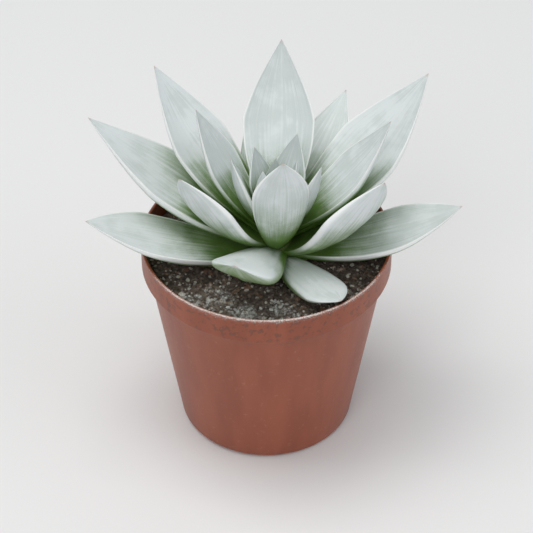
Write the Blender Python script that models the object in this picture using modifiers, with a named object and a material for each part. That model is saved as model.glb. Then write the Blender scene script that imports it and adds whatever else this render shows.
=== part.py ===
"""A potted echeveria: a silver-frosted rosette of thick pointed leaves in a round plastic grower's pot.

Metres, +Z up. The origin is the middle of the pot's underside, where the pot stands. Azimuths count from +X
towards +Y, and the photograph looks along +Y, so a leaf at azimuth -90 points at the viewer.
"""
import math
import random

import bmesh
import bpy
from mathutils import Matrix, Vector, noise

COLLECTION = "potted_echeveria"
FIT_GAP = 0.0003          # between touching pieces
WELD = 0.000005           # corners closer than this are made one where young leaves are joined
SEAM = 0.00005            # and closer than this along the seam of a turned body
SHARP_ANGLE = 40.0        # degrees between faces over which an edge is shaded as sharp

# Pot: thin moulded wall with a collar below the rim
POT_HEIGHT = 0.080
POT_RIM_RADIUS = 0.045
POT_BASE_RADIUS = 0.0315
POT_WALL = 0.0010
POT_EDGE = 0.00035        # bevel on the rim and the collar
POT_CORNER = 0.0015       # bevel where the wall meets the floor
POT_FLOOR = 0.0016
COLLAR_HEIGHT = 0.0105
COLLAR_STEP = 0.0022      # how far the collar stands out from the wall below it
FOOT_RECESS = 0.0022      # height of the ring-shaped channel under the floor
FOOT_WIDTH = 0.0035
FOOT_SLOPE = 0.0008       # how far the channel's sides lean
FOOT_BEVEL = (0.0012, 0.0015)   # in and up, round the outside of the foot
CENTRE_PAD_RADIUS = 0.009
DRAIN_COUNT = 8
DRAIN_RADIUS = 0.0030
DRAIN_CIRCLE = 0.0205
DRAIN_SIDES = 12
ROUND_STEPS = 48

# Soil: fills the pot to a little below the rim
SOIL_LEVEL = 0.0725
SOIL_RINGS = 13
SOIL_SKIRT = 0.0010       # depth of the bevel round the surface
SOIL_HOLE_LIP = 0.0008    # ring of soil round the stem
SOIL_HOLE_LIP_DEPTH = 0.0030
SOIL_LUMP = 0.0011        # height of the relief on its surface
SOIL_LUMP_SIZE = 0.0042

# Stem: short, its root end in a plain hole in the soil
CROWN_X = 0.0030          # the plant stands this far off the pot's axis
CROWN_Y = -0.0040
STEM_RADIUS = 0.0060
STEM_NECK_RADIUS = 0.0050
STEM_DEPTH = 0.0130
STEM_POINT = 0.0030       # length of the blunt root end
STEM_RISE = 0.0152        # from the soil to the top, where the heart sits
STEM_BELLY = (0.30, 0.62)    # stretch of that rise over which it is thickest
STEM_SHOULDER = 0.0018    # height of its rounded shoulder
STEM_TOP_IN = (0.0023, 0.0013)   # how far the shoulder is in from the widest, at the top and below it
CROWN_LEVEL = 0.0745      # heights in the table of leaves are above this

# Leaves: one shape, scaled by length
LEAF_WIDEST = 0.56        # where along the leaf it is widest
LEAF_BASE_SHARE = 0.31    # width at the stem, as a share of the widest
LEAF_FLARE_POWER = 1.15   # how the sides swell from the stem
LEAF_TIP_POWER = 1.35     # how the sides draw in to the point
LEAF_WIDTH_SHARE = 0.37   # widest width, as a share of length
LEAF_THICK_SHARE = 0.088
LEAF_CUP = 0.14           # how far the edges stand above the midrib, as a share of half the width
LEAF_CUP_GAIN = (0.6, 0.8)   # share of that cup at the root, and what it gains by the tip
LEAF_ROOT_THICK = 0.46    # thickness at the root, as a share of the thickest
LEAF_SWELL_END = 0.86     # where that swelling has died away
LEAF_SWELL_POWER = 0.9
LEAF_TIP_THIN = 6         # how suddenly the tip thins out
LEAF_TOP_SHARE = 0.2      # part of the thickness above the midrib's surface; the rest is the keel
LEAF_SECTION_POWER = 1.25
LEAF_ROOT_RADIUS = 0.0030    # where a midrib starts, out from the stem's axis
BLUNT_WIDEST = 0.14       # a blunt leaf, spoon-shaped, is widest this much further out
BLUNT_TIP_POWER = 1.0     # and draws in later, by this much more power
PLUMP_THICKER = 1.6       # a plump leaf, short and swollen with water, is this share thicker
PLUMP_BASE = 0.3          # wider at the stem
PLUMP_TOP = 0.25          # more of its thickness above the midrib's surface
PLUMP_SECTION = 0.35      # rounder across
PLUMP_DOME = 2.2          # domed above where others are cupped
PLUMP_SWELL = 0.1         # and thick until nearer its tip
LEAF_SIDES = 12
LEAF_RINGS = 12
ROLL_SPREAD = 3.0         # degrees of seeded roll about the midrib, added to each leaf's own
SEED = 7

# Each leaf from the outermost inwards: azimuth of its tip, the tip's distance out from the stem's axis and
# its height above the crown level, the height at which it leaves the stem, its width against the plain share,
# how many degrees it curls upwards and how many it rolls about its midrib, and how blunt and how plump it is,
# from 0 to 1. The lengths are in millimetres, read by eye from the plant and rounded.
LEAVES = (
    (-55, 40, 7.5, 1.4, 1.20, 5, -4, 1.0, 0.60),
    (133, 60, 11, 1.8, 0.88, 20, 0, 0, 0),
    (48, 57, 12, 1.9, 0.90, 20, 0, 0, 0),
    (-173, 67, 23, 1.9, 0.96, 20, 6, 0.5, 0),
    (94, 58, 18, 4.2, 0.90, 24, 0, 0, 0),
    (-1, 66, 24, 4.2, 0.98, 36, -2, 0.4, 0),
    (-112, 37, 25, 5.4, 1.60, 30, 0, 1.0, 0.75),
    (65, 62, 32, 6.6, 0.94, 22, 0, 0, 0),
    (161, 70, 45, 6.0, 0.96, 20, 10, 0, 0),
    (106, 40, 27, 8.3, 0.80, 28, 0, 0, 0),
    (-20, 40, 45, 5.4, 1.36, 42, -42, 0.1, 0),
    (33, 65, 55, 10.3, 1.04, 34, 5, 0, 0),
    (-160.5, 35, 45, 8.5, 1.37, 37, 42, 0.1, 0),
    (140, 56, 58, 10.4, 0.94, 28, 0, 0, 0),
    (87, 45, 63, 12.2, 1.05, 28, 0, 0, 0),
    (11, 41, 55, 12.5, 1.00, 34, 0, 0, 0),
    (157, 30, 57, 12.2, 0.93, 26, 0, 0, 0),
    (-83, 21, 59, 7.4, 0.98, 26, 0, 0.6, 0),
)

# Heart: young leaves round the growing tip, each turned on from the last by the golden angle
HEART_LEAVES = 10
HEART_TURN = -137.5
HEART_START = -30.0
HEART_LENGTH = (0.038, 0.020)   # first and last leaf
HEART_PITCH = (65.0, 88.0)   # degrees above level, the first and the last
HEART_WIDTH_SHARE = 0.38
HEART_THICK_SHARE = 0.11
HEART_CURL = 18.0
HEART_SIDES = 12
HEART_RINGS = 9
HEART_CORE_RADIUS = 0.0044
HEART_CORE_HEIGHT = 0.0080
HEART_CORE_SHAPE = ((0.35, 0.92), (0.85, 0.45), (1.0, 0.12), (0.8, 0.0))   # shares of its radius and height
HEART_ROOT_RADIUS = 0.0024
HEART_ROOT_LIFT = 0.0006

MM = 0.001


def clear_scene():
    for obj in list(bpy.data.objects):
        bpy.data.objects.remove(obj)


def new_collection(name):
    collection = bpy.data.collections.new(name)
    bpy.context.scene.collection.children.link(collection)
    return collection


def new_material(name, colour, roughness, metallic=0.0):
    material = bpy.data.materials.new(name)
    material.use_nodes = True
    shader = material.node_tree.nodes["Principled BSDF"]
    shader.inputs["Base Color"].default_value = (*colour, 1.0)
    shader.inputs["Roughness"].default_value = roughness
    shader.inputs["Metallic"].default_value = metallic
    return material


def new_object(name, bm, collection, material=None):
    mesh = bpy.data.meshes.new(name)
    bm.to_mesh(mesh)
    bm.free()
    mesh.shade_smooth()
    mesh.set_sharp_from_angle(angle=math.radians(SHARP_ANGLE))
    obj = bpy.data.objects.new(name, mesh)
    collection.objects.link(obj)
    if material:
        mesh.materials.append(material)
    return obj


def make_cutter(obj):
    obj.hide_render = True
    obj.display_type = "WIRE"
    return obj


def cut(obj, cutter):
    modifier = obj.modifiers.new("cut", "BOOLEAN")
    modifier.operation = "DIFFERENCE"
    modifier.solver = "EXACT"
    modifier.object = cutter


def turned(name, profile, collection, material=None):
    """A body turned about Z from (radius, height) points that run down its outer side."""
    bm = bmesh.new()
    points = [bm.verts.new((radius, 0, height)) for radius, height in profile]
    for first, second in zip(points, points[1:]):
        bm.edges.new((first, second))
    obj = new_object(name, bm, collection, material)
    screw = obj.modifiers.new("turn", "SCREW")
    screw.axis = "Z"
    screw.steps = screw.render_steps = ROUND_STEPS
    screw.use_merge_vertices = True
    screw.merge_threshold = SEAM
    return obj


def pot_wall_radius(height):
    """Outer radius of the tapered wall, below the collar."""
    top = POT_RIM_RADIUS - COLLAR_STEP
    return POT_BASE_RADIUS + (top - POT_BASE_RADIUS) * height / (POT_HEIGHT - COLLAR_HEIGHT)


def make_pot(collection, cutters, material):
    shoulder = POT_HEIGHT - COLLAR_HEIGHT
    rim_inside = POT_RIM_RADIUS - POT_WALL
    floor_top = FOOT_RECESS + POT_FLOOR
    foot_inside = POT_BASE_RADIUS - FOOT_WIDTH
    foot_in, foot_up = FOOT_BEVEL
    profile = [
        (0.0, floor_top),
        (pot_wall_radius(floor_top) - POT_WALL - POT_CORNER, floor_top),
        (pot_wall_radius(floor_top + POT_CORNER) - POT_WALL, floor_top + POT_CORNER),
        (pot_wall_radius(shoulder) - POT_WALL, shoulder - POT_WALL),
        (rim_inside - POT_EDGE, shoulder + POT_EDGE),
        (rim_inside, shoulder + POT_WALL),
        (rim_inside, POT_HEIGHT - POT_EDGE),
        (rim_inside + POT_EDGE, POT_HEIGHT),
        (POT_RIM_RADIUS - POT_EDGE, POT_HEIGHT),
        (POT_RIM_RADIUS, POT_HEIGHT - POT_EDGE),
        (POT_RIM_RADIUS, shoulder + POT_EDGE),
        (POT_RIM_RADIUS - POT_EDGE, shoulder),
        (pot_wall_radius(shoulder), shoulder),
        (pot_wall_radius(foot_up), foot_up),
        (POT_BASE_RADIUS - foot_in, 0.0),
        (foot_inside, 0.0),
        (foot_inside - FOOT_SLOPE, FOOT_RECESS),
        (CENTRE_PAD_RADIUS + FOOT_SLOPE, FOOT_RECESS),
        (CENTRE_PAD_RADIUS, 0.0),
        (0.0, 0.0),
    ]
    pot = turned("pot", profile, collection, material)
    bm = bmesh.new()
    for index in range(DRAIN_COUNT):
        angle = 2 * math.pi * (index + 0.5) / DRAIN_COUNT
        place = Vector((math.cos(angle), math.sin(angle), 0)) * DRAIN_CIRCLE
        place.z = FOOT_RECESS + POT_FLOOR / 2
        bmesh.ops.create_cone(bm, cap_ends=True, segments=DRAIN_SIDES, radius1=DRAIN_RADIUS,
                              radius2=DRAIN_RADIUS, depth=POT_FLOOR * 3, matrix=Matrix.Translation(place))
    cut(pot, make_cutter(new_object("drain_hole_cutter", bm, cutters)))
    return pot


def soil_relief(x, y):
    """Height of the lumps of peat and grit above the level of the soil."""
    spot = Vector((x, y, 0.0)) / SOIL_LUMP_SIZE
    return SOIL_LUMP * noise.noise(spot)


def make_soil(collection, material):
    """A turned plug that fills the pot, its top raised by the relief and holed where the stem goes in."""
    shoulder = POT_HEIGHT - COLLAR_HEIGHT
    floor = FOOT_RECESS + POT_FLOOR + FIT_GAP
    wall_inside = POT_WALL + FIT_GAP
    rim = POT_RIM_RADIUS - wall_inside
    hole = STEM_NECK_RADIUS + FIT_GAP
    first, last = hole + SOIL_HOLE_LIP, rim - POT_EDGE
    profile = [
        (0.0, SOIL_LEVEL - STEM_DEPTH - FIT_GAP),
        (hole, SOIL_LEVEL - STEM_DEPTH - FIT_GAP),
        (hole, SOIL_LEVEL - SOIL_HOLE_LIP_DEPTH),
    ]
    profile += [(first + (last - first) * ring / SOIL_RINGS, SOIL_LEVEL) for ring in range(SOIL_RINGS + 1)]
    profile += [
        (rim, SOIL_LEVEL - SOIL_SKIRT),
        (rim, shoulder + 2 * POT_WALL),
        (pot_wall_radius(shoulder) - wall_inside, shoulder - POT_EDGE),
        (pot_wall_radius(floor + POT_CORNER) - wall_inside, floor + POT_CORNER),
        (pot_wall_radius(floor) - wall_inside - POT_CORNER, floor),
        (0.0, floor),
    ]
    bm = bmesh.new()
    points = [bm.verts.new((radius, 0, height)) for radius, height in profile]
    edges = [bm.edges.new(pair) for pair in zip(points, points[1:])]
    bmesh.ops.spin(bm, geom=points + edges, axis=(0, 0, 1), cent=(0, 0, 0), angle=2 * math.pi,
                   steps=ROUND_STEPS, use_merge=True)
    bmesh.ops.remove_doubles(bm, verts=bm.verts, dist=WELD)
    for vert in bm.verts:
        around = math.hypot(vert.co.x, vert.co.y)
        on_top = vert.co.z > SOIL_LEVEL - SOIL_SKIRT / 2
        if on_top or (around < first and vert.co.z > floor + POT_CORNER):
            # the hole stands off the pot's axis, as the plant does, and the rings even that out by the rim
            shift = 1.0 - max(0.0, around - first) / (rim - first)
            vert.co.x += CROWN_X * shift
            vert.co.y += CROWN_Y * shift
        if on_top:
            vert.co.z += soil_relief(vert.co.x, vert.co.y)
    bmesh.ops.recalc_face_normals(bm, faces=bm.faces)
    return new_object("soil", bm, collection, material)


def stem_profile(grow=0.0):
    """(radius, height) points down the stem's outside, made fatter by grow."""
    top = SOIL_LEVEL + STEM_RISE
    return [
        (0.0, top + grow),
        (STEM_RADIUS - STEM_TOP_IN[0] + grow, top + grow),
        (STEM_RADIUS - STEM_TOP_IN[1] + grow, top - STEM_SHOULDER),
        (STEM_RADIUS + grow, SOIL_LEVEL + STEM_RISE * STEM_BELLY[1]),
        (STEM_RADIUS + grow, SOIL_LEVEL + STEM_RISE * STEM_BELLY[0]),
        (STEM_NECK_RADIUS + grow, SOIL_LEVEL),
        (STEM_NECK_RADIUS + grow, SOIL_LEVEL - STEM_DEPTH + STEM_POINT),
        (STEM_NECK_RADIUS / 2 + grow, SOIL_LEVEL - STEM_DEPTH - grow),
        (0.0, SOIL_LEVEL - STEM_DEPTH - grow),
    ]


def make_stem(collection, cutters, material):
    stem = turned("stem", stem_profile(), collection, material)
    cutter = make_cutter(turned("leaf_seat_cutter", stem_profile(FIT_GAP), cutters))
    for obj in (stem, cutter):
        obj.location = (CROWN_X, CROWN_Y, 0)
    return stem, cutter


def half_width(u, blunt, plump):
    """Half the leaf's width at u, from 0 at the stem to 1 at the tip, against its widest."""
    widest = LEAF_WIDEST + BLUNT_WIDEST * blunt
    base_share = LEAF_BASE_SHARE + PLUMP_BASE * plump
    if u < widest:
        rise = math.sin(math.pi / 2 * u / widest) ** LEAF_FLARE_POWER
        return base_share + (1 - base_share) * rise
    return max(0.0, 1 - ((u - widest) / (1 - widest)) ** (LEAF_TIP_POWER + BLUNT_TIP_POWER * blunt))


def thickness(u, plump):
    """Thickness along the midrib at u, against the thickest."""
    swell = math.sin(math.pi * min(1.0, u / (LEAF_SWELL_END + PLUMP_SWELL * plump)) ** LEAF_SWELL_POWER)
    return (LEAF_ROOT_THICK + (1 - LEAF_ROOT_THICK) * swell) * (1 - u ** LEAF_TIP_THIN)


def grow_leaf(bm, root, azimuth, pitch, chord, width, thick, curl, roll, blunt, plump, sides, rings):
    """Adds a leaf that starts at root and whose tip is chord away, at that azimuth and pitch in degrees.

    It is a ball whose poles become the leaf's two ends: each ring of the ball is a section of the leaf,
    cupped above and keeled below, and set square to a midrib that is an arc of curl degrees.
    """
    ball = bmesh.ops.create_uvsphere(bm, u_segments=sides, v_segments=rings, radius=1.0)["verts"]
    turn = math.radians(curl)
    arc_radius = chord / 2 / math.sin(turn / 2)
    start = math.radians(pitch) - turn / 2
    heading = math.radians(azimuth)
    outward = Vector((math.cos(heading), math.sin(heading), 0))
    sideways = Vector((-math.sin(heading), math.cos(heading), 0))
    up = Vector((0, 0, 1))
    thick *= 1 + PLUMP_THICKER * plump
    top_share = LEAF_TOP_SHARE + PLUMP_TOP * plump
    for vert in ball:
        u = math.acos(max(-1.0, min(1.0, -vert.co.z))) / math.pi
        around = math.atan2(vert.co.y, vert.co.x)
        at_end = math.hypot(vert.co.x, vert.co.y) < WELD
        across = 0.0 if at_end else math.cos(around)
        swell = 0.0 if at_end else abs(math.sin(around)) ** (LEAF_SECTION_POWER - PLUMP_SECTION * plump)
        body = thickness(u, plump) * thick * swell
        half = half_width(u, blunt, plump) * width / 2
        cup = LEAF_CUP * (LEAF_CUP_GAIN[0] + LEAF_CUP_GAIN[1] * u) * (1 - PLUMP_DOME * plump)
        side = half * across
        lift = cup * half * across ** 2 + body * (top_share if around > 0 else top_share - 1)
        rolled = math.radians(roll) * u
        side, lift = (side * math.cos(rolled) - lift * math.sin(rolled),
                      side * math.sin(rolled) + lift * math.cos(rolled))
        angle = start + turn * u
        along = arc_radius * (math.sin(angle) - math.sin(start))
        rise = arc_radius * (math.cos(start) - math.cos(angle))
        normal = up * math.cos(angle) - outward * math.sin(angle)
        vert.co = root + outward * along + up * rise + sideways * side + normal * lift
    bmesh.ops.recalc_face_normals(bm, faces=bm.faces)


def make_leaves(collection, seat_cutter, material):
    draw = random.Random(SEED)
    leaves = []
    for index, (azimuth, out, rise, seat, width_share, curl, roll, blunt, plump) in enumerate(LEAVES, 1):
        roll += draw.uniform(-ROLL_SPREAD, ROLL_SPREAD)
        heading = math.radians(azimuth)
        outward = Vector((math.cos(heading), math.sin(heading), 0))
        root = Vector((CROWN_X, CROWN_Y, CROWN_LEVEL + seat * MM)) + outward * LEAF_ROOT_RADIUS
        level, lift = out * MM - LEAF_ROOT_RADIUS, (rise - seat) * MM
        chord = math.hypot(level, lift)
        bm = bmesh.new()
        grow_leaf(bm, root, azimuth, math.degrees(math.atan2(lift, level)), chord,
                  chord * LEAF_WIDTH_SHARE * width_share, chord * LEAF_THICK_SHARE * width_share ** 0.5,
                  curl, roll, blunt, plump, LEAF_SIDES, LEAF_RINGS)
        leaf = new_object(f"leaf_{index:02d}", bm, collection, material)
        cut(leaf, seat_cutter)
        leaves.append(leaf)
    return leaves


def keep_largest(mesh):
    """Leaves only the biggest shell of a mesh, without slivers that a union shut inside it."""
    bm = bmesh.new()
    bm.from_mesh(mesh)
    bmesh.ops.remove_doubles(bm, verts=bm.verts, dist=WELD)
    bmesh.ops.dissolve_degenerate(bm, edges=bm.edges, dist=WELD)
    left, shells = set(bm.verts), []
    while left:
        shell, edge = set(), [left.pop()]
        while edge:
            vert = edge.pop()
            shell.add(vert)
            linked = {link.other_vert(vert) for link in vert.link_edges} & left
            left -= linked
            edge.extend(linked)
        shells.append(shell)
    shells.sort(key=len)
    for shell in shells[:-1]:
        bmesh.ops.delete(bm, geom=list(shell), context="VERTS")
    bm.to_mesh(mesh)
    bm.free()


def make_heart(collection, material):
    """The young leaves and the growing tip that they stand round, joined in one body."""
    base = SOIL_LEVEL + STEM_RISE + FIT_GAP
    profile = [(0.0, base + HEART_CORE_HEIGHT)]
    profile += [(HEART_CORE_RADIUS * out, base + HEART_CORE_HEIGHT * rise) for out, rise in HEART_CORE_SHAPE]
    profile += [(0.0, base)]
    core = turned("heart", profile, collection, material)
    core.location = (CROWN_X, CROWN_Y, 0)
    for index in range(HEART_LEAVES):
        share = index / (HEART_LEAVES - 1)
        length = HEART_LENGTH[0] + (HEART_LENGTH[1] - HEART_LENGTH[0]) * share
        pitch = HEART_PITCH[0] + (HEART_PITCH[1] - HEART_PITCH[0]) * share
        azimuth = HEART_START + HEART_TURN * index
        heading = math.radians(azimuth)
        root = Vector((CROWN_X, CROWN_Y, base + HEART_ROOT_LIFT + share * HEART_CORE_HEIGHT / 2))
        root += Vector((math.cos(heading), math.sin(heading), 0)) * HEART_ROOT_RADIUS * (1 - share / 2)
        bm = bmesh.new()
        grow_leaf(bm, root, azimuth, pitch, length, length * HEART_WIDTH_SHARE, length * HEART_THICK_SHARE,
                  HEART_CURL, 0.0, 0.0, 0.0, HEART_SIDES, HEART_RINGS)
        young = new_object("young_leaf", bm, collection)
        join = core.modifiers.new("join", "BOOLEAN")
        join.operation = "UNION"
        join.solver = "EXACT"
        join.object = young
        graph = bpy.context.evaluated_depsgraph_get()
        joined = bpy.data.meshes.new_from_object(core.evaluated_get(graph))
        core.modifiers.clear()
        core.data = joined
        keep_largest(joined)
        bpy.data.objects.remove(young)
    return core


def main():
    clear_scene()
    collection = new_collection(COLLECTION)
    cutters = new_collection("cutters")
    silver = new_material("silver_leaf", (0.62, 0.67, 0.63), 0.42, 0.25)
    green = new_material("stem_green", (0.20, 0.27, 0.10), 0.6)
    peat = new_material("peat", (0.09, 0.07, 0.055), 0.95)
    plastic = new_material("terracotta_plastic", (0.36, 0.12, 0.07), 0.42)
    make_pot(collection, cutters, plastic)
    make_soil(collection, peat)
    stem, seat_cutter = make_stem(collection, cutters, green)
    make_leaves(collection, seat_cutter, silver)
    make_heart(collection, silver)


main()
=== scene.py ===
# A potted echeveria, dressed round its solids: frosted leaves, gritty soil and a thin plastic pot.
# Metres, +Z up. The origin is under the middle of the pot, and the camera looks along +Y and down.
import math
import random

import bmesh
import bpy
from mathutils import Matrix, Vector, noise
from mathutils.bvhtree import BVHTree


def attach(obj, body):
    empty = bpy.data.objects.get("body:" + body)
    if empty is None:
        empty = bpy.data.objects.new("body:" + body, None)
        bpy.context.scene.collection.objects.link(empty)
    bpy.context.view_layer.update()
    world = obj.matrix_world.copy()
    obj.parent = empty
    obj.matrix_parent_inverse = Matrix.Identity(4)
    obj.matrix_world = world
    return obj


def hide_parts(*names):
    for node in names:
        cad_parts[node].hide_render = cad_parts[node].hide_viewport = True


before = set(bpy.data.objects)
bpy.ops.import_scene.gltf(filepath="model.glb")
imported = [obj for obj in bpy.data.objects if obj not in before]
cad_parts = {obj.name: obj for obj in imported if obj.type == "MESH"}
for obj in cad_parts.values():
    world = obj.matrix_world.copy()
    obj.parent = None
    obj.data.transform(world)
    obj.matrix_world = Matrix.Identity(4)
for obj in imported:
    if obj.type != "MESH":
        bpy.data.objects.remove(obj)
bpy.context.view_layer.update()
mm = 0.001
up = Vector((0, 0, 1))
fitGap = 0.3 * mm        # between a piece and what carries it, as in the solids
weld = 0.005 * mm        # points nearer than this are merged


class Flow:
    # one output of a material's node, so that shader maths reads as arithmetic
    def __init__(self, finish, socket):
        self.finish = finish
        self.socket = socket

    def math(self, operation, first, second):
        return self.finish.node("ShaderNodeMath", {"operation": operation}, {0: first, 1: second})

    def __add__(self, other):
        return self.math("ADD", self, other)

    def __sub__(self, other):
        return self.math("SUBTRACT", self, other)

    def __rsub__(self, other):
        return self.math("SUBTRACT", other, self)

    def __mul__(self, other):
        return self.math("MULTIPLY", self, other)

    def __abs__(self):
        return self.finish.node("ShaderNodeMath", {"operation": "ABSOLUTE"}, {0: self})

    __radd__ = __add__
    __rmul__ = __mul__


class Finish:
    # a material: one Principled shader, its fixed sockets, and what feeds the others
    def __init__(self, name, fixed):
        self.material = bpy.data.materials.new(name)
        self.material.use_nodes = True
        self.tree = self.material.node_tree
        self.shader = self.tree.nodes["Principled BSDF"]
        for socket, value in fixed.items():
            self.shader.inputs[socket].default_value = value

    def node(self, kind, settings=None, sockets=None, output=0):
        made = self.tree.nodes.new(kind)
        for key, value in (settings or {}).items():
            setattr(made, key, value)
        for key, value in (sockets or {}).items():
            if isinstance(value, Flow):
                self.tree.links.new(value.socket, made.inputs[key])
            elif hasattr(value, "__len__") and made.inputs[key].type == "RGBA":
                made.inputs[key].default_value = (*value, 1.0)
            else:
                made.inputs[key].default_value = value
        return Flow(self, made.outputs[output])

    def feed(self, socket, flow):
        self.tree.links.new(flow.socket, self.shader.inputs[socket])

    def read(self, attribute):
        return self.node("ShaderNodeAttribute", {"attribute_name": attribute}, output="Fac")

    def place(self):
        return self.node("ShaderNodeTexCoord", output="Object")

    def noise(self, vector, scale, detail=2.0, roughness=0.5):
        return self.node("ShaderNodeTexNoise", None, {"Vector": vector, "Scale": scale, "Detail": detail,
                                                      "Roughness": roughness})

    def ramp(self, value, low, high, start=0.0, end=1.0):
        # eases from start to end as value goes from low to high
        return self.node("ShaderNodeMapRange", {"interpolation_type": "SMOOTHSTEP"},
                         {0: value, 1: low, 2: high, 3: start, 4: end})

    def mix(self, share, first, second):
        return self.node("ShaderNodeMix", {"data_type": "RGBA"}, {0: share, 6: first, 7: second}, output=2)

    def bump(self, height, depth, strength):
        self.feed("Normal", self.node("ShaderNodeBump", None, {"Height": height, "Distance": depth,
                                                               "Strength": strength}))


def weighted(patterns, shares):
    return sum(pattern * share for pattern, share in zip(patterns, shares))


def centred(*patterns):
    # noise runs from 0 to 1, so this lets it take away as much as it adds
    return [pattern - 0.5 for pattern in patterns]


def addObject(name, data):
    made = bpy.data.objects.new(name, data)
    bpy.context.scene.collection.objects.link(made)
    return made


def meshFrom(name, bm):
    mesh = bpy.data.meshes.new(name)
    bm.to_mesh(mesh)
    bm.free()
    return mesh


def makePiece(name, bm, finish, nodes=(), sharp=None):
    mesh = meshFrom(name, bm)
    mesh.shade_smooth()
    if sharp:
        mesh.set_sharp_from_angle(angle=math.radians(sharp))
    mesh.materials.append(finish.material)
    piece = addObject(name, mesh)
    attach(piece, "root")
    if nodes:
        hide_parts(*nodes)
    return piece


def heading(azimuth):
    return Vector((math.cos(math.radians(azimuth)), math.sin(math.radians(azimuth)), 0))


def spinProfile(profile, steps, roundCorners=(), roundRadius=0.0, roundSegments=3):
    # a body turned about Z from (radius, height) points; the named corners are rounded first
    bm = bmesh.new()
    corners = [bm.verts.new((radius, 0, height)) for radius, height in profile]
    for pair in zip(corners, corners[1:]):
        bm.edges.new(pair)
    if roundCorners:
        bmesh.ops.bevel(bm, geom=[corners[i] for i in roundCorners], offset=roundRadius, offset_type="OFFSET",
                        segments=roundSegments, profile=0.5, affect="VERTICES", material=-1)
    bmesh.ops.spin(bm, geom=bm.verts[:] + bm.edges[:], axis=up, cent=(0, 0, 0), angle=2 * math.pi,
                   steps=steps, use_merge=True)
    bmesh.ops.remove_doubles(bm, verts=bm.verts, dist=weld)
    bmesh.ops.recalc_face_normals(bm, faces=bm.faces)
    return bm


def splitWalls(bm, tallest, cuts):
    # cuts the edges that climb further than tallest, so that paint and relief have points to sit on
    walls = [edge for edge in bm.edges if abs(edge.verts[0].co.z - edge.verts[1].co.z) > tallest]
    bmesh.ops.subdivide_edges(bm, edges=walls, cuts=cuts, use_grid_fill=True)


# Frost: silver paint that was sprayed from above, so it is thin wherever other leaves gave shelter

frost = {
    "rays": 18,            # directions tried from each point
    "lowest": -0.08,       # sine of the lowest direction that the spray came from
    "start": 0.7 * mm,     # rays start this far off the surface
    "reach": 0.12,         # and look this far for shelter
    "turns": 12,           # turned copies of the set of directions, so that no pattern shows
    "turnRatio": 1.618,    # keeps their turns from falling in step with the directions
    "smoothing": 3,        # rounds of averaging with the points round about
    "skyFacingFrom": 0.54,      # in the open, the paint comes with how much a face looks at the sky, and this also paints shade: downturned faces come out greener and darker
    "skyFacingTo": 0.95,
    "skyFacingSmoothing": 14,
    "seed": 11,
}


def sprayDirections():
    golden = math.pi * (3 - math.sqrt(5))
    found = []
    for i in range(frost["rays"]):
        rise = frost["lowest"] + (1 - frost["lowest"]) * (i + 0.5) / frost["rays"]
        level = math.sqrt(1 - rise * rise)
        found.append(Vector((math.cos(golden * i) * level, math.sin(golden * i) * level, rise)))
    return found


def turnedSets(directions):
    angles = [2 * math.pi * i / frost["turns"] / frost["turnRatio"] for i in range(frost["turns"])]
    turns = [Matrix.Rotation(angle, 3, "Z") for angle in angles]
    return [[turn @ direction for direction in directions] for turn in turns]


def shelterTree():
    points, faces = [], []
    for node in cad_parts.values():
        first = len(points)
        points += [vert.co.copy() for vert in node.data.vertices]
        faces += [[first + i for i in face.vertices] for face in node.data.polygons]
    return BVHTree.FromPolygons(points, faces)


shelter = shelterTree()
spraySets = turnedSets(sprayDirections())
fullSpray = sum(max(0.0, direction.z) for direction in spraySets[0])
sprayDraw = random.Random(frost["seed"])


def sprayReaching(point, normal):
    got = 0.0
    start = point + normal * frost["start"]
    for direction in sprayDraw.choice(spraySets):
        facing = normal.dot(direction)
        if facing > 0 and shelter.ray_cast(start, direction, frost["reach"])[0] is None:
            got += facing
    return got / fullSpray


def facingSky(normal):
    return min(1.0, max(0.0, (normal.z - frost["skyFacingFrom"]) / (frost["skyFacingTo"] - frost["skyFacingFrom"])))


def averaged(amounts, vert):
    near = [amounts[edge.other_vert(vert).index] for edge in vert.link_edges]
    return (amounts[vert.index] + sum(near)) / (1 + len(near))


def layFrost(bm, skyFacingShare=0.0, extra=0.0):
    layer = bm.verts.layers.float.get("frost") or bm.verts.layers.float.new("frost")
    bm.normal_update()
    bm.verts.ensure_lookup_table()
    amounts = []
    for vert in bm.verts:
        sheltered = sprayReaching(vert.co, vert.normal)
        # the share that follows facingSky is partly real paint and partly painted shade on faces that turn
        # down
        amounts.append(sheltered * (1 - skyFacingShare) + facingSky(vert.normal) * skyFacingShare)
    for _ in range(frost["skyFacingSmoothing"] if skyFacingShare else frost["smoothing"]):
        amounts = [averaged(amounts, vert) for vert in bm.verts]
    for vert in bm.verts:
        vert[layer] = amounts[vert.index] + extra


# Leaves: one shape, scaled by length, bent along an arc and cupped across

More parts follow.
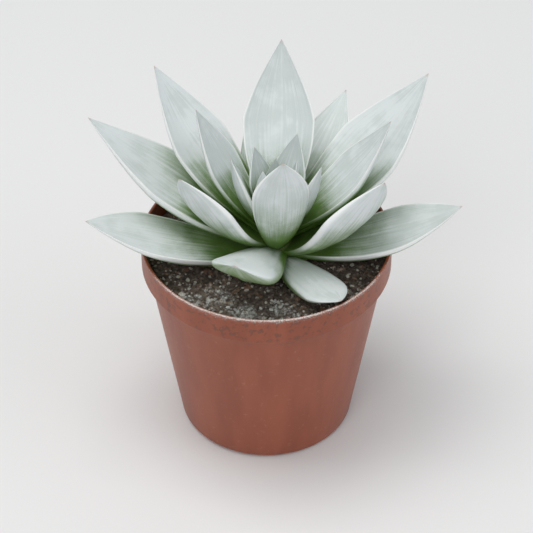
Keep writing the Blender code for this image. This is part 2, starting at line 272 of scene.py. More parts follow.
leafShape = {
    "sides": 64,             # points round each ring of the mesh
    "rings": 72,             # and rings from root to tip
    "pole": 1e-5,            # nearer than this to the axis of the ball is one of its ends
    "widest": 0.56,          # where along the leaf it is widest
    "baseShare": 0.31,       # width at the stem against the widest
    "flarePower": 1.15,      # how late it widens from the stem
    "tipPower": 1.35,        # and how late it draws in to the tip
    "widthShare": 0.37,      # widest width against the length
    "thickShare": 0.088,     # greatest thickness against the length
    "thickPower": 0.5,       # a wider leaf is thicker, by this power of its width
    "cup": 0.14,             # how far the edges stand above the midrib, against half the width
    "cupAtRoot": 0.6,        # the share of that at the root
    "cupGain": 0.8,          # and what is gained by the tip
    "rootThick": 0.46,       # thickness at the stem against the greatest
    "swellEnd": 0.86,        # where along the leaf the swelling ends
    "swellPower": 0.9,       # below 1, its middle lies nearer the root
    "tipThin": 6,            # power by which the thickness runs out at the tip
    "topShare": 0.2,         # part of the thickness above the midrib's surface
    "topPower": 1.0,         # how sharp the section is above its margins
    "underPower": 0.8,       # and under them
    "rootRadius": 3.0 * mm,  # where a leaf begins, from the middle of the stem
    "bluntWidest": 0.14,     # a blunt leaf, spoon-shaped, is widest this much further out
    "bluntTipPower": 1.0,    # and draws in later, by this much more power
    "plumpThicker": 1.6,     # a plump leaf, short and swollen, is this share thicker
    "plumpBase": 0.3,        # wider at the stem
    "plumpTop": 0.25,        # more of its thickness above the midrib's surface
    "plumpDome": 2.2,        # domed above where others are cupped
    "plumpSwell": 0.1,       # and thick until nearer its tip
    "rollSpread": 3.0,       # degrees, drawn for each leaf
    "seed": 7,
    "toneSeed": 8,
}
leafRelief = {
    "keel": 0.05,            # ridge down the underside, against the thickness
    "keelWidth": 0.16,       # against half the width
    "dent": 0.16 * mm,       # soft unevenness of the faces
    "dentSize": 6.5 * mm,
    "dentTone": 0.5,         # each leaf has its own dents, this far off in the noise
    "dentUnder": 0.03,       # and so has its underside
    "waver": 0.014,          # unevenness of the outline, against half the width
    "waverSize": 9.0 * mm,
    "waverTone": 40,         # each leaf has its own, and so has each margin
    "waverMargin": 3,
    "waverFade": 4,          # it dies away in the last 1/4 of the length
    "lip": 0.30 * mm,        # thin raised margin, which a plump leaf lacks
    "lipFrom": 0.88,         # of half the width
    "lipFade": 3,            # it dies away in the last 1/3 of the length
}
crown = {
    "x": 3.0 * mm,           # the plant stands off the pot's axis
    "y": -4.0 * mm,
    "soil": 72.5 * mm,       # level of the soil
    "level": 74.5 * mm,      # level that the leaves are measured from
    "stemRise": 15.2 * mm,   # top of the stem above the soil
}

# outermost first: azimuth of the tip, its distance out and height above the crown level, the height where the
# leaf leaves the stem, its width against the plain share, degrees of curl and of roll, and how blunt and how
# plump it is, from 0 to 1; lengths in millimetres
leafTable = (
    (-55, 40, 7.5, 1.4, 1.20, 5, -4, 1.0, 0.60),
    (133, 60, 11, 1.8, 0.88, 20, 0, 0, 0),
    (48, 57, 12, 1.9, 0.90, 20, 0, 0, 0),
    (-173, 67, 23, 1.9, 0.96, 20, 6, 0.5, 0),
    (94, 58, 18, 4.2, 0.90, 24, 0, 0, 0),
    (-1, 66, 24, 4.2, 0.98, 36, -2, 0.4, 0),
    (-112, 37, 25, 5.4, 1.60, 30, 0, 1.0, 0.75),
    (65, 62, 32, 6.6, 0.94, 22, 0, 0, 0),
    (161, 70, 45, 6.0, 0.96, 20, 10, 0, 0),
    (106, 40, 27, 8.3, 0.80, 28, 0, 0, 0),
    (-20, 40, 45, 5.4, 1.36, 42, -42, 0.1, 0),
    (33, 65, 55, 10.3, 1.04, 34, 5, 0, 0),
    (-160.5, 35, 45, 8.5, 1.37, 37, 42, 0.1, 0),
    (140, 56, 58, 10.4, 0.94, 28, 0, 0, 0),
    (87, 45, 63, 12.2, 1.05, 28, 0, 0, 0),
    (11, 41, 55, 12.5, 1.00, 34, 0, 0, 0),
    (157, 30, 57, 12.2, 0.93, 26, 0, 0, 0),
    (-83, 21, 59, 7.4, 0.98, 26, 0, 0.6, 0),
)


def halfWidth(u, blunt, plump):
    # half the width at u, 0 at the stem and 1 at the tip, against the widest
    widest = leafShape["widest"] + leafShape["bluntWidest"] * blunt
    base = leafShape["baseShare"] + leafShape["plumpBase"] * plump
    if u < widest:
        return base + (1 - base) * math.sin(math.pi / 2 * u / widest) ** leafShape["flarePower"]
    tipPower = leafShape["tipPower"] + leafShape["bluntTipPower"] * blunt
    return max(0.0, 1 - ((u - widest) / (1 - widest)) ** tipPower)


def bodyThickness(u, plump):
    root = leafShape["rootThick"]
    swellEnd = leafShape["swellEnd"] + leafShape["plumpSwell"] * plump
    swell = math.sin(math.pi * min(1.0, u / swellEnd) ** leafShape["swellPower"])
    return (root + (1 - root) * swell) * (1 - u ** leafShape["tipThin"])


def growLeaf(bm, root, azimuth, pitch, chord, width, thick, curl, sides, rings, tone,
             roll=0.0, blunt=0.0, plump=0.0):
    # a ball whose poles become the two ends of the leaf, and whose rings become its sections
    layers = {name: bm.verts.layers.float.get(name) or bm.verts.layers.float.new(name)
              for name in ("across", "along", "tone")}
    ball = bmesh.ops.create_uvsphere(bm, u_segments=sides, v_segments=rings, radius=1.0)["verts"]
    shape, relief = leafShape, leafRelief
    turn = math.radians(curl)
    arcRadius = chord / 2 / math.sin(turn / 2)
    start = math.radians(pitch) - turn / 2
    outward, sideways = heading(azimuth), heading(azimuth + 90)
    thick *= 1 + shape["plumpThicker"] * plump
    topShare = shape["topShare"] + shape["plumpTop"] * plump
    for vert in ball:
        u = math.acos(max(-1.0, min(1.0, -vert.co.z))) / math.pi
        around = math.atan2(vert.co.y, vert.co.x)
        atEnd = math.hypot(vert.co.x, vert.co.y) < shape["pole"]
        across = 0.0 if atEnd else math.cos(around)
        below = around < 0 and not atEnd
        swell = 0.0 if atEnd else abs(math.sin(around)) ** shape["underPower" if below else "topPower"]
        full = bodyThickness(u, plump) * thick
        half = halfWidth(u, blunt, plump) * width / 2

        margin = math.copysign(relief["waverMargin"], across)
        waver = noise.noise(Vector((u * chord / relief["waverSize"], margin, tone * relief["waverTone"])))
        side = half * across * (1 + relief["waver"] * waver * min(1.0, relief["waverFade"] * (1 - u)))

        cup = shape["cup"] * (shape["cupAtRoot"] + shape["cupGain"] * u)
        cup *= 1 - shape["plumpDome"] * plump
        lift = cup * half * across ** 2
        lift += full * swell * (topShare if not below else topShare - 1)
        if below:
            lift -= relief["keel"] * full * math.exp(-(across / relief["keelWidth"]) ** 2)
        rim = max(0.0, (abs(across) - relief["lipFrom"]) / (1 - relief["lipFrom"]))
        lift += relief["lip"] * rim * min(1.0, relief["lipFade"] * (1 - u)) * (1 - plump)
        layer = tone * relief["dentTone"] + (relief["dentUnder"] if below else 0.0)
        lift += relief["dent"] * noise.noise(Vector((side, u * chord, layer)) / relief["dentSize"]) * swell

        rolled = math.radians(roll) * u
        side, lift = (side * math.cos(rolled) - lift * math.sin(rolled),
                      side * math.sin(rolled) + lift * math.cos(rolled))
        angle = start + turn * u
        out = arcRadius * (math.sin(angle) - math.sin(start))
        rise = arcRadius * (math.cos(start) - math.cos(angle))
        normal = up * math.cos(angle) - outward * math.sin(angle)
        vert.co = root + outward * out + up * rise + sideways * side + normal * lift
        vert[layers["across"]] = across * (1 - plump)     # a plump leaf has no streaks and no painted highlight on its margin
        vert[layers["along"]] = u
        vert[layers["tone"]] = tone


def makeLeaves(finish):
    draw = random.Random(leafShape["seed"])
    tones = random.Random(leafShape["toneSeed"])
    for index, row in enumerate(leafTable, 1):
        azimuth, out, rise, seat, widthShare, curl, roll, blunt, plump = row
        roll += draw.uniform(-leafShape["rollSpread"], leafShape["rollSpread"])
        root = Vector((crown["x"], crown["y"], crown["level"] + seat * mm))
        root += heading(azimuth) * leafShape["rootRadius"]
        level, lift = out * mm - leafShape["rootRadius"], (rise - seat) * mm
        pitch = math.degrees(math.atan2(lift, level))
        chord = math.hypot(level, lift)
        width = chord * leafShape["widthShare"] * widthShare
        thick = chord * leafShape["thickShare"] * widthShare ** leafShape["thickPower"]
        bm = bmesh.new()
        growLeaf(bm, root, azimuth, pitch, chord, width, thick, curl, leafShape["sides"], leafShape["rings"],
                 tones.random(), roll, blunt, plump)
        bmesh.ops.recalc_face_normals(bm, faces=bm.faces)
        layFrost(bm, plump)     # a swollen outer leaf lies in the open: thinner paint on its belly, and partly painted shade there
        makePiece(f"frosted_leaf_{index:02d}", bm, finish, [f"leaf_{index:02d}"])


heart = {
    "leaves": 10,
    "turn": -137.5,          # degrees from one young leaf to the next
    "start": -30.0,
    "length": (38 * mm, 20 * mm),    # of the first and of the last
    "pitch": (65.0, 88.0),
    "widthShare": 0.38,      # width and thickness against the length
    "thickShare": 0.11,
    "curl": 18.0,
    "sides": 48,
    "rings": 48,
    "rootRadius": 2.4 * mm,
    "rootLift": 0.6 * mm,
    "coreRadius": 4.4 * mm,  # the growing tip that they stand round
    "coreHeight": 8.0 * mm,
    "coreSides": 24,
    "coreRings": 16,
    "frostAndLightLift": 0.14,      # the spray was aimed at it, and partly painted light, which pales the young leaves where they shade each other
    "toneSeed": 9,
}


def between(ends, share):
    return ends[0] + (ends[1] - ends[0]) * share


def makeHeart(finish):
    base = crown["soil"] + crown["stemRise"] + fitGap
    halfCore = heart["coreHeight"] / 2
    tones = random.Random(heart["toneSeed"])
    bm = bmesh.new()
    for index in range(heart["leaves"]):
        share = index / (heart["leaves"] - 1)
        length = between(heart["length"], share)
        azimuth = heart["start"] + heart["turn"] * index
        root = Vector((crown["x"], crown["y"], base + heart["rootLift"] + share * halfCore))
        root += heading(azimuth) * heart["rootRadius"] * (1 - share / 2)
        growLeaf(bm, root, azimuth, between(heart["pitch"], share), length, length * heart["widthShare"],
                 length * heart["thickShare"], heart["curl"], heart["sides"], heart["rings"], tones.random())
    core = bmesh.ops.create_uvsphere(bm, u_segments=heart["coreSides"], v_segments=heart["coreRings"],
                                     radius=1.0)["verts"]
    bmesh.ops.transform(bm, verts=core, matrix=Matrix.LocRotScale(
        Vector((crown["x"], crown["y"], base + halfCore)), None,
        Vector((heart["coreRadius"], heart["coreRadius"], halfCore))))
    bmesh.ops.recalc_face_normals(bm, faces=bm.faces)
    # the extra frost is partly paint and partly painted light lifting the heart's shade
    layFrost(bm, extra=heart["frostAndLightLift"])
    makePiece("frosted_heart", bm, finish, ["heart"])


frostedLook = {
    "fleshDeep": (0.098, 0.190, 0.030),
    "fleshPale": (0.215, 0.350, 0.110),
    "paleRange": (0.05, 0.75),         # along the leaf, from root to tip
    "silver": (0.755, 0.802, 0.806),
    "silverCool": (0.640, 0.700, 0.686),
    "coolRange": (0.40, 0.58),         # of the blotches
    "silverWarm": (0.800, 0.790, 0.780),
    "warmRange": (0.50, 0.75),         # of the fine streaks
    "warmShare": 0.35,
    # painted highlight: the pale margin colour stands in for light caught along the leaf's edge
    "margin": (0.930, 0.955, 0.940),
    "marginHighlightRange": (0.925, 0.985),     # across the leaf, whose edge is at 1
    "marginHighlightFrost": (0.25, 0.80),       # the painted highlight is left off a sheltered margin near the root
    "tip": (0.560, 0.380, 0.310),
    "tipRange": (0.975, 0.997),        # along the leaf
    "tipRagged": 0.01,
    "tipShare": 0.6,
    "coverRange": (0.06, 0.62),        # frost below this leaves the flesh bare, and above it hides it
    "climb": 0.45,                     # more paint towards the tip, and less towards the root
    "climbMiddle": 0.45,
    "bareRoot": 0.22,                  # how much less paint reached the root itself
    "rootRange": (0.04, 0.38),
    "rootRagged": 0.25,
    "streaks": (11, 1.6, 60),          # across half the width, along the leaf, and from leaf to leaf
    "fineStreaks": (30, 4, 90),
    "mottle": 120,                     # patches and droplets, per metre
    "grain": 2600,
    "uneven": (0.16, 0.34, 0.22, 0.20),    # how far mottle, streaks, fine streaks and grain vary the cover
    "blotch": (0.45, 0.55, 0.14),      # how far streaks, mottle and the leaf's own tone vary the silver
    "metal": 0.10,
    "rough": 0.36,
    "rougher": (0.10, 0.10),           # where it is covered, and with the grain
    "relief": (0.50, 0.80, 0.45),      # grain, fine streaks and streaks
    "reliefDepth": 0.13 * mm,
    "reliefStrength": 0.55,
}


def frostedSkin():
    look = frostedLook
    skin = Finish("frosted_skin", {"Specular IOR Level": 0.45, "IOR": 1.42})
    place = skin.place()
    across, along, tone, sprayed = (skin.read(name) for name in ("across", "along", "tone", "frost"))

    def lengthwise(counts):
        scaled = [flow * count for flow, count in zip((across, along, tone), counts)]
        return skin.node("ShaderNodeCombineXYZ", None, dict(enumerate(scaled)))

    streak = skin.noise(lengthwise(look["streaks"]), 1.0, detail=3.0, roughness=0.55)
    fineStreak = skin.noise(lengthwise(look["fineStreaks"]), 1.0)
    mottle = skin.noise(place, look["mottle"], detail=3.0, roughness=0.55)
    grain = skin.noise(place, look["grain"], roughness=0.6)

    uneven = weighted(centred(mottle, streak, fineStreak, grain), look["uneven"])
    climb = (along - look["climbMiddle"]) * look["climb"]
    ragged = along + (streak - 0.5) * look["rootRagged"]
    bareRoot = skin.ramp(ragged, *look["rootRange"], look["bareRoot"], 0.0)
    cover = skin.ramp(sprayed + uneven + climb - bareRoot, *look["coverRange"])

    pale = skin.ramp(along + (mottle - 0.5), *look["paleRange"])
    flesh = skin.mix(pale, look["fleshDeep"], look["fleshPale"])
    blotch = weighted((streak, mottle, tone - 0.5), look["blotch"])
    silver = skin.mix(skin.ramp(blotch, *look["coolRange"]), look["silverCool"], look["silver"])
    warm = skin.ramp(fineStreak, *look["warmRange"]) * look["warmShare"]
    colour = skin.mix(cover, flesh, skin.mix(warm, silver, look["silverWarm"]))
    # painted highlight: the margins are paled as if their edges caught the light
    margin = skin.ramp(abs(across), *look["marginHighlightRange"]) * skin.ramp(sprayed + along, *look["marginHighlightFrost"])
    colour = skin.mix(margin, colour, look["margin"])
    tip = skin.ramp(along + (grain - 0.5) * look["tipRagged"], *look["tipRange"]) * look["tipShare"]
    colour = skin.mix(tip, colour, look["tip"])

    skin.feed("Base Color", colour)
    skin.feed("Metallic", cover * look["metal"])
    skin.feed("Roughness", look["rough"] + weighted((cover, grain), look["rougher"]))
    relief = weighted((grain, fineStreak, streak), look["relief"])
    skin.bump(relief, look["reliefDepth"], look["reliefStrength"])
    return skin


skinFinish = frostedSkin()
makeLeaves(skinFinish)
print(f"leaves: {len(leafTable)} grown and frosted")
makeHeart(skinFinish)
print("heart: young leaves grown and frosted")


stem = {
    "radius": 6.0 * mm,
    "neck": 5.0 * mm,        # radius at the soil and under it
    "depth": 13.0 * mm,      # of the root end under the soil
    "point": 3.0 * mm,       # height of its taper
    "belly": (0.30, 0.62),   # where the stem is thickest, as shares of its rise
    "shoulder": 1.8 * mm,
    "topIn": (2.3 * mm, 1.3 * mm),   # how far the shoulder is in from the widest, at the top and below it
    "steps": 64,
    "cuts": 7,
    "scars": 5,              # rows of leaf scars up the stem
    "scarDepth": 0.30 * mm,
    "green": (0.130, 0.210, 0.055),
    "brown": (0.210, 0.160, 0.090),
    "brownRange": (0.42, 0.66),
    "patches": 260,          # patches and grain, per metre
    "grain": 1600,
    "grainShare": 0.4,
    "reliefDepth": 0.3 * mm,
    "reliefStrength": 0.6,
}


def stemSkin():
    bark = Finish("stem_skin", {"Roughness": 0.62})
    place = bark.place()
    patches = bark.noise(place, stem["patches"], detail=4.0, roughness=0.6)
    grain = bark.noise(place, stem["grain"])
    bark.feed("Base Color", bark.mix(bark.ramp(patches, *stem["brownRange"]), stem["green"], stem["brown"]))
    bark.bump(patches + grain * stem["grainShare"], stem["reliefDepth"], stem["reliefStrength"])
    return bark


def makeStem():
    soilTop, rise, radius, neck = crown["soil"], crown["stemRise"], stem["radius"], stem["neck"]
    top, foot = soilTop + rise, soilTop - stem["depth"]
    outline = [
        (0.0, top),
        (radius - stem["topIn"][0], top),
        (radius - stem["topIn"][1], top - stem["shoulder"]),
        (radius, soilTop + rise * stem["belly"][1]),
        (radius, soilTop + rise * stem["belly"][0]),
        (neck, soilTop),
        (neck, foot + stem["point"]),
        (neck / 2, foot),
        (0.0, foot),
    ]
    bm = spinProfile(outline, stem["steps"])
    splitWalls(bm, mm, stem["cuts"])
    for vert in bm.verts:
        outward = Vector((vert.co.x, vert.co.y, 0))
        if outward.length > neck / 2:
            climb = (vert.co.z - soilTop) / rise * stem["scars"]
            turnShare = math.atan2(outward.y, outward.x) / math.pi
            dip = 0.5 + 0.5 * math.sin(2 * math.pi * (climb + turnShare))
            vert.co -= outward.normalized() * stem["scarDepth"] * dip
    bmesh.ops.translate(bm, verts=bm.verts, vec=(crown["x"], crown["y"], 0))
    bmesh.ops.recalc_face_normals(bm, faces=bm.faces)
    makePiece("ringed_stem", bm, stemSkin(), ["stem"])


makeStem()
print("stem: turned, with its leaf scars")


pot = {
    "height": 80.0 * mm,
    "rimRadius": 45.0 * mm,
    "baseRadius": 31.5 * mm,
    "wall": 1.0 * mm,
    "edge": 0.32 * mm,           # rounding of the corners
    "corner": 1.5 * mm,          # between the floor and the wall, inside
    "floor": 1.6 * mm,
    "collarHeight": 10.5 * mm,
    "collarStep": 2.2 * mm,      # how far the collar stands out from the wall
    "footRecess": 2.2 * mm,      # how far the floor is above what the pot stands on
    "footWidth": 3.5 * mm,
    "footSlope": 0.8 * mm,
    "footBevel": (1.2 * mm, 1.5 * mm),
    "centrePad": 9.0 * mm,
    "drains": 8,
    "drainRadius": 3.0 * mm,
    "drainCircle": 20.5 * mm,
    "drainSteps": 32,
    "drainReach": 3,             # length of a drain's cutter against the floor's thickness
    "steps": 144,
    "tallest": 4 * mm,           # wall edges longer than this are cut
    "cuts": 12,
    "sharp": 35,
}
plasticLook = {
    "clay": (0.330, 0.085, 0.040),
    "clayDark": (0.280, 0.069, 0.033),
    "clayRange": (0.35, 0.65),
    "dust": (0.460, 0.240, 0.160),
    "dustRange": (0.56, 0.74),
    "dustShare": 0.35,
    "peat": (0.060, 0.042, 0.030),
    "splashHeight": (62 * mm, 74 * mm),    # peat that was splashed on the collar
    "splashRange": (0.52, 0.60),
    "splashShare": 0.5,
    "silver": (0.740, 0.690, 0.650),
    "silverHeight": 6 * mm,      # how far below the rim the paint reached
    "silverRange": (0.50, 0.95),
    "uneven": (0.9, 0.4),        # how far specks and scuffs vary it
    "flow": 110,                 # patterns, per metre
    "flowStretch": 0.12,
    "scuffs": 420,
    "speck": 2400,
    "metal": 0.2,
    "rough": 0.34,
    "rougher": (0.16, 0.12),     # with the scuffs, and where it is painted
    "relief": (0.50, 0.35, 0.15),    # flow, scuffs and specks
    "reliefDepth": 0.14 * mm,
    "reliefStrength": 0.5,
}


def wallRadius(height):
    top = pot["rimRadius"] - pot["collarStep"]
    return pot["baseRadius"] + (top - pot["baseRadius"]) * height / (pot["height"] - pot["collarHeight"])


def mouldedPlastic():
    look = plasticLook
    plastic = Finish("terracotta_plastic", {"Specular IOR Level": 0.45})
    place = plastic.place()
    height = plastic.node("ShaderNodeSeparateXYZ", None, {0: place}, output="Z")
    stretch = (1, 1, look["flowStretch"])
    flow = plastic.noise(plastic.node("ShaderNodeMapping", None, {"Vector": place, "Scale": stretch}),
                         look["flow"], detail=3.0)
    scuffs = plastic.noise(place, look["scuffs"], detail=5.0, roughness=0.7)
    speck = plastic.noise(place, look["speck"], roughness=0.6)

    colour = plastic.mix(plastic.ramp(flow, *look["clayRange"]), look["clayDark"], look["clay"])
    colour = plastic.mix(plastic.ramp(scuffs, *look["dustRange"]) * look["dustShare"], colour, look["dust"])
    splash = plastic.ramp(height, *look["splashHeight"]) * plastic.ramp(scuffs, *look["splashRange"])
    colour = plastic.mix(splash * look["splashShare"], colour, look["peat"])
    nearRim = plastic.ramp(height, pot["height"] - look["silverHeight"], pot["height"])
    sprayed = plastic.read("frost") * nearRim + weighted(centred(speck, scuffs), look["uneven"])
    cover = plastic.ramp(sprayed, *look["silverRange"])

    plastic.feed("Base Color", plastic.mix(cover, colour, look["silver"]))
    plastic.feed("Metallic", cover * look["metal"])
    plastic.feed("Roughness", look["rough"] + weighted((scuffs, cover), look["rougher"]))
    relief = weighted((flow, scuffs, speck), look["relief"])
    plastic.bump(relief, look["reliefDepth"], look["reliefStrength"])
    return plastic


def drainCutter():
    drains = bmesh.new()
    for index in range(pot["drains"]):
        place = heading(360 * (index + 0.5) / pot["drains"]) * pot["drainCircle"]
        place.z = pot["footRecess"] + pot["floor"] / 2
        bmesh.ops.create_cone(drains, cap_ends=True, segments=pot["drainSteps"], radius1=pot["drainRadius"],
                              radius2=pot["drainRadius"], depth=pot["floor"] * pot["drainReach"],
                              matrix=Matrix.Translation(place))
    return addObject("drain_cutter", meshFrom("drain_cutter", drains))


def makePot(finish):
    shoulder = pot["height"] - pot["collarHeight"]
    rimInside = pot["rimRadius"] - pot["wall"]
    floorTop = pot["footRecess"] + pot["floor"]
    cornerTop = floorTop + pot["corner"]
    footInside = pot["baseRadius"] - pot["footWidth"]
    footIn, footUp = pot["footBevel"]
    outline = [
        (0.0, floorTop),
        (wallRadius(floorTop) - pot["wall"] - pot["corner"], floorTop),
        (wallRadius(cornerTop) - pot["wall"], cornerTop),
        (wallRadius(shoulder) - pot["wall"], shoulder - pot["wall"]),
        (rimInside, shoulder + pot["edge"]),
        (rimInside, pot["height"]),
        (pot["rimRadius"], pot["height"]),
        (pot["rimRadius"], shoulder),
        (wallRadius(shoulder), shoulder),
        (wallRadius(footUp), footUp),
        (pot["baseRadius"] - footIn, 0.0),
        (footInside, 0.0),
        (footInside - pot["footSlope"], pot["footRecess"]),
        (pot["centrePad"] + pot["footSlope"], pot["footRecess"]),
        (pot["centrePad"], 0.0),
        (0.0, 0.0),
    ]
    fromShoulder = range(3, len(outline) - 1)     # the corners of the floor inside, and the last, stay sharp
    bm = spinProfile(outline, pot["steps"], fromShoulder, pot["edge"])
    splitWalls(bm, pot["tallest"], pot["cuts"])
    bmesh.ops.recalc_face_normals(bm, faces=bm.faces)
    layFrost(bm)
    piece = makePiece("moulded_pot", bm, finish, ["pot"], sharp=pot["sharp"])
    cutter = drainCutter()
    cutting = piece.modifiers.new("drains", "BOOLEAN")
    cutting.operation = "DIFFERENCE"
    cutting.solver = "EXACT"
    cutting.object = cutter
    graph = bpy.context.evaluated_depsgraph_get()
    drained = bpy.data.meshes.new_from_object(piece.evaluated_get(graph), depsgraph=graph)
    piece.modifiers.clear()
    piece.data = drained
    bpy.data.objects.remove(cutter)


makePot(mouldedPlastic())
print("pot: turned and drained")


soil = {
    "rings": 64,
    "steps": 180,
    "skirt": 1.0 * mm,         # how far the edge of the soil falls towards the wall
    "chamfer": 0.35 * mm,
    "collarDrop": 0.35 * mm,   # how far under the pot's shoulder the soil narrows
    "lip": 0.8 * mm,           # round the hole for the stem
    "lipDepth": 3.0 * mm,
    "lump": 1.1 * mm,          # the relief of the solid, kept here
    "lumpSize": 4.2 * mm,
    "crumb": 0.45 * mm,        # and finer crumbs on it
    "crumbSize": 1.3 * mm,
    "crumbFall": 0.8,          # each finer layer of them is this power weaker
    "crumbStep": 2.1,          # and this many times finer
    "crumbLayers": 3,
}
soilLook = {
    "peat": (0.066, 0.050, 0.040),
    "peatPale": (0.195, 0.155, 0.122),
    "silver": (0.570, 0.590, 0.560),
}
peatLook = {
    "lumps": 700,              # patterns, per metre
    "grain": 3200,
    "drift": 95,               # the paint fell in patches
    "paleRange": (0.35, 0.72),
    "silverFrom": 0.40,
    "silverSpan": 0.45,
    "uneven": (0.9, 0.6, 0.9),     # how far drift, lumps and grain vary it
    "rough": 0.92,
    "smoother": 0.35,          # where it is painted
    "metal": 0.15,
    "grainShare": 0.5,
    "reliefDepth": 0.35 * mm,
    "reliefStrength": 0.9,
}


def soilHeight(x, y):
    spot = Vector((x, y, 0))
    fine = noise.fractal(spot / soil["crumbSize"], soil["crumbFall"], soil["crumbStep"], soil["crumbLayers"])
    return soil["lump"] * noise.noise(spot / soil["lumpSize"]) + soil["crumb"] * fine


def dampPeat(name, colours, silverFrom):
    look = peatLook
    peat = Finish(name, {"Specular IOR Level": 0.25})
    place = peat.place()
    lumps = peat.noise(place, look["lumps"], detail=4.0, roughness=0.65)
    grain = peat.noise(place, look["grain"], detail=3.0, roughness=0.6)
    drift = peat.noise(place, look["drift"])
    colour = peat.mix(peat.ramp(lumps, *look["paleRange"]), colours["peat"], colours["peatPale"])
    sprayed = peat.read("frost") + weighted(centred(drift, lumps, grain), look["uneven"])
    cover = peat.ramp(sprayed, silverFrom, silverFrom + look["silverSpan"])
    peat.feed("Base Color", peat.mix(cover, colour, colours["silver"]))
    peat.feed("Roughness", look["rough"] - cover * look["smoother"])
    peat.feed("Metallic", cover * look["metal"])
    peat.bump(lumps + grain * look["grainShare"], look["reliefDepth"], look["reliefStrength"])
    return peat


def makeSoil(finish):
    level = crown["soil"]
    shoulder = pot["height"] - pot["collarHeight"]
    floor = pot["footRecess"] + pot["floor"] + fitGap
    cornerTop = floor + pot["corner"]
    wallInside = pot["wall"] + fitGap
    rim = pot["rimRadius"] - wallInside
    hole, holeFloor = stem["neck"] + fitGap, level - stem["depth"] - fitGap
    first, last = hole + soil["lip"], rim - soil["chamfer"]
    outline = [(0.0, holeFloor), (hole, holeFloor), (hole, level - soil["lipDepth"])]
    outline += [(first + (last - first) * ring / soil["rings"], level) for ring in range(soil["rings"] + 1)]
    outline += [
        (rim, level - soil["skirt"]),
        (rim, shoulder + 2 * pot["wall"]),
        (wallRadius(shoulder) - wallInside, shoulder - soil["collarDrop"]),
        (wallRadius(cornerTop) - wallInside, cornerTop),
        (wallRadius(floor) - wallInside - pot["corner"], floor),
        (0.0, floor),
    ]
    bm = spinProfile(outline, soil["steps"])
    for vert in bm.verts:
        around = math.hypot(vert.co.x, vert.co.y)
        onTop = vert.co.z > level - soil["skirt"] / 2
        if onTop or (around < first and vert.co.z > cornerTop):
            shift = 1 - max(0.0, around - first) / (rim - first)   # the hole stands off the pot's axis
            vert.co.x += crown["x"] * shift
            vert.co.y += crown["y"] * shift
        if onTop:
            vert.co.z += soilHeight(vert.co.x, vert.co.y)
    layFrost(bm)
    makePiece("potting_soil", bm, finish, ["soil"])


grit = {
    "seed": 23,
    "edge": 1.0 * mm,          # kept clear of the pot's wall
    "sizePower": 2,            # small bits are the most common
    "lengthen": (1.0, 1.7),
    "tilt": 35,                # degrees
    "lump": 0.35,              # unevenness against the size
    "lumpScale": 1.5,
    "shapes": 99,              # the stretch of noise that their lumps are drawn from
    "sharp": 30,
    "silverFrom": 0.26,        # they catch the paint sooner than the soil
    "kinds": {
        # sizes from and to, and the share of the height that is sunk in the soil
        "peat_crumbs": {
            "count": 1700, "size": (0.6 * mm, 1.7 * mm), "flatness": 0.75, "sunk": 0.25,
            "peat": (0.075, 0.054, 0.040), "peatPale": (0.255, 0.210, 0.165), "silver": (0.600, 0.620, 0.590),
        },
        "bark_chips": {
            "count": 260, "size": (1.2 * mm, 2.8 * mm), "flatness": 0.42, "sunk": 0.25,
            "peat": (0.105, 0.062, 0.040), "peatPale": (0.300, 0.190, 0.125), "silver": (0.610, 0.630, 0.570),
        },
        "pale_grit": {
            "count": 560, "size": (0.55 * mm, 1.5 * mm), "flatness": 0.80, "sunk": 0.2,
            "peat": (0.420, 0.400, 0.330), "peatPale": (0.660, 0.640, 0.560), "silver": (0.700, 0.720, 0.680),
        },
    },
}


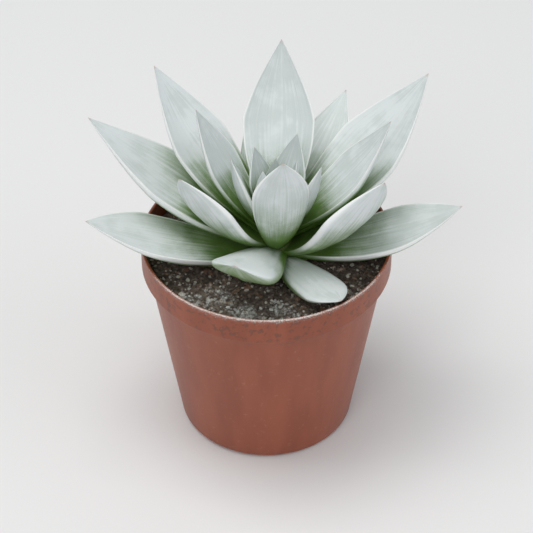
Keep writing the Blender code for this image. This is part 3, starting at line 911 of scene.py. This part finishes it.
def scatterGrit():
    draw = random.Random(grit["seed"])
    reach = pot["rimRadius"] - pot["wall"] - grit["edge"]
    hub = Vector((crown["x"], crown["y"], 0))
    for name, kind in grit["kinds"].items():
        smallest, largest = kind["size"]
        bm = bmesh.new()
        frostLayer = bm.verts.layers.float.new("frost")
        for _ in range(kind["count"]):
            size = smallest + (largest - smallest) * draw.random() ** grit["sizePower"]
            out, angle = (reach - size) * math.sqrt(draw.random()), draw.uniform(0, 360)
            spot = heading(angle) * out
            lengthen, turnAxis = draw.uniform(*grit["lengthen"]), heading(draw.uniform(0, 360))
            tilt, turn = draw.uniform(-grit["tilt"], grit["tilt"]), draw.uniform(0, 360)
            shape = Vector((draw.uniform(0, grit["shapes"]), 0, 0))
            if (spot - hub).length < stem["neck"] + size + fitGap:
                continue
            proud = size * kind["flatness"] * (0.5 - kind["sunk"])
            spot.z = crown["soil"] + soilHeight(spot.x, spot.y) + proud
            sprayed = sprayReaching(spot, up)
            place = (Matrix.Translation(spot) @ Matrix.Rotation(math.radians(tilt), 4, turnAxis)
                     @ Matrix.Rotation(math.radians(turn), 4, "Z")
                     @ Matrix.Diagonal((lengthen, 1.0, kind["flatness"], 1.0)))
            crumb = bmesh.ops.create_icosphere(bm, subdivisions=1, radius=size / 2)["verts"]
            for vert in crumb:
                vert.co *= 1 + grit["lump"] * noise.noise(vert.co / size * grit["lumpScale"] + shape)
                vert[frostLayer] = sprayed
            bmesh.ops.transform(bm, verts=crumb, matrix=place)
        makePiece(name, bm, dampPeat(name + "_finish", kind, grit["silverFrom"]), sharp=grit["sharp"])


makeSoil(dampPeat("damp_peat", soilLook, peatLook["silverFrom"]))
scatterGrit()
print("soil: filled, crumbled and gritted")


# The studio: a pale floor, soft lights and the camera

studio = {
    "floor": (0.86, 0.86, 0.855),
    "floorHalf": 3.0,
    "sky": (0.95, 0.97, 1.0),
    "skyStrength": 0.46,
    "camera": (0.0, -0.7075, 0.68),
    "aim": (0.0, 0.0, 0.066),
    "lens": 175.0,
    "lights": (
        # name, place, watts, size in metres, colour
        ("overhead", (-0.25, 0.05, 1.25), 6.5, 0.7, (1.0, 0.99, 0.97)),
        ("front_key", (-0.35, -1.00, 1.10), 3.6, 0.6, (1.0, 1.0, 1.0)),
        ("right_fill", (0.95, -0.35, 0.6), 1.6, 0.7, (0.97, 0.98, 1.0)),
    ),
}


def placeAndAim(holder, place):
    holder.location = place
    holder.rotation_euler = (Vector(studio["aim"]) - Vector(place)).to_track_quat("-Z", "Y").to_euler()


def makeStudio():
    bm = bmesh.new()
    bmesh.ops.create_grid(bm, x_segments=2, y_segments=2, size=studio["floorHalf"])
    floor = addObject("studio_floor", meshFrom("studio_floor", bm))
    paper = Finish("studio_paper", {"Base Color": (*studio["floor"], 1.0), "Roughness": 0.9})
    floor.data.materials.append(paper.material)
    for name, place, watts, size, colour in studio["lights"]:
        lamp = bpy.data.lights.new(name, "AREA")
        lamp.energy, lamp.size, lamp.color = watts, size, colour
        placeAndAim(addObject(name, lamp), place)
    world = bpy.data.worlds.new("studio_sky")
    world.use_nodes = True
    backdrop = world.node_tree.nodes["Background"]
    backdrop.inputs["Color"].default_value = (*studio["sky"], 1.0)
    backdrop.inputs["Strength"].default_value = studio["skyStrength"]
    bpy.context.scene.world = world
    bpy.context.scene.view_settings.view_transform = "Standard"
    lens = bpy.data.cameras.new("studio_camera")
    lens.lens = studio["lens"]
    camera = addObject("studio_camera", lens)
    placeAndAim(camera, studio["camera"])
    bpy.context.scene.camera = camera


makeStudio()
print("studio: floor, lights and camera set")
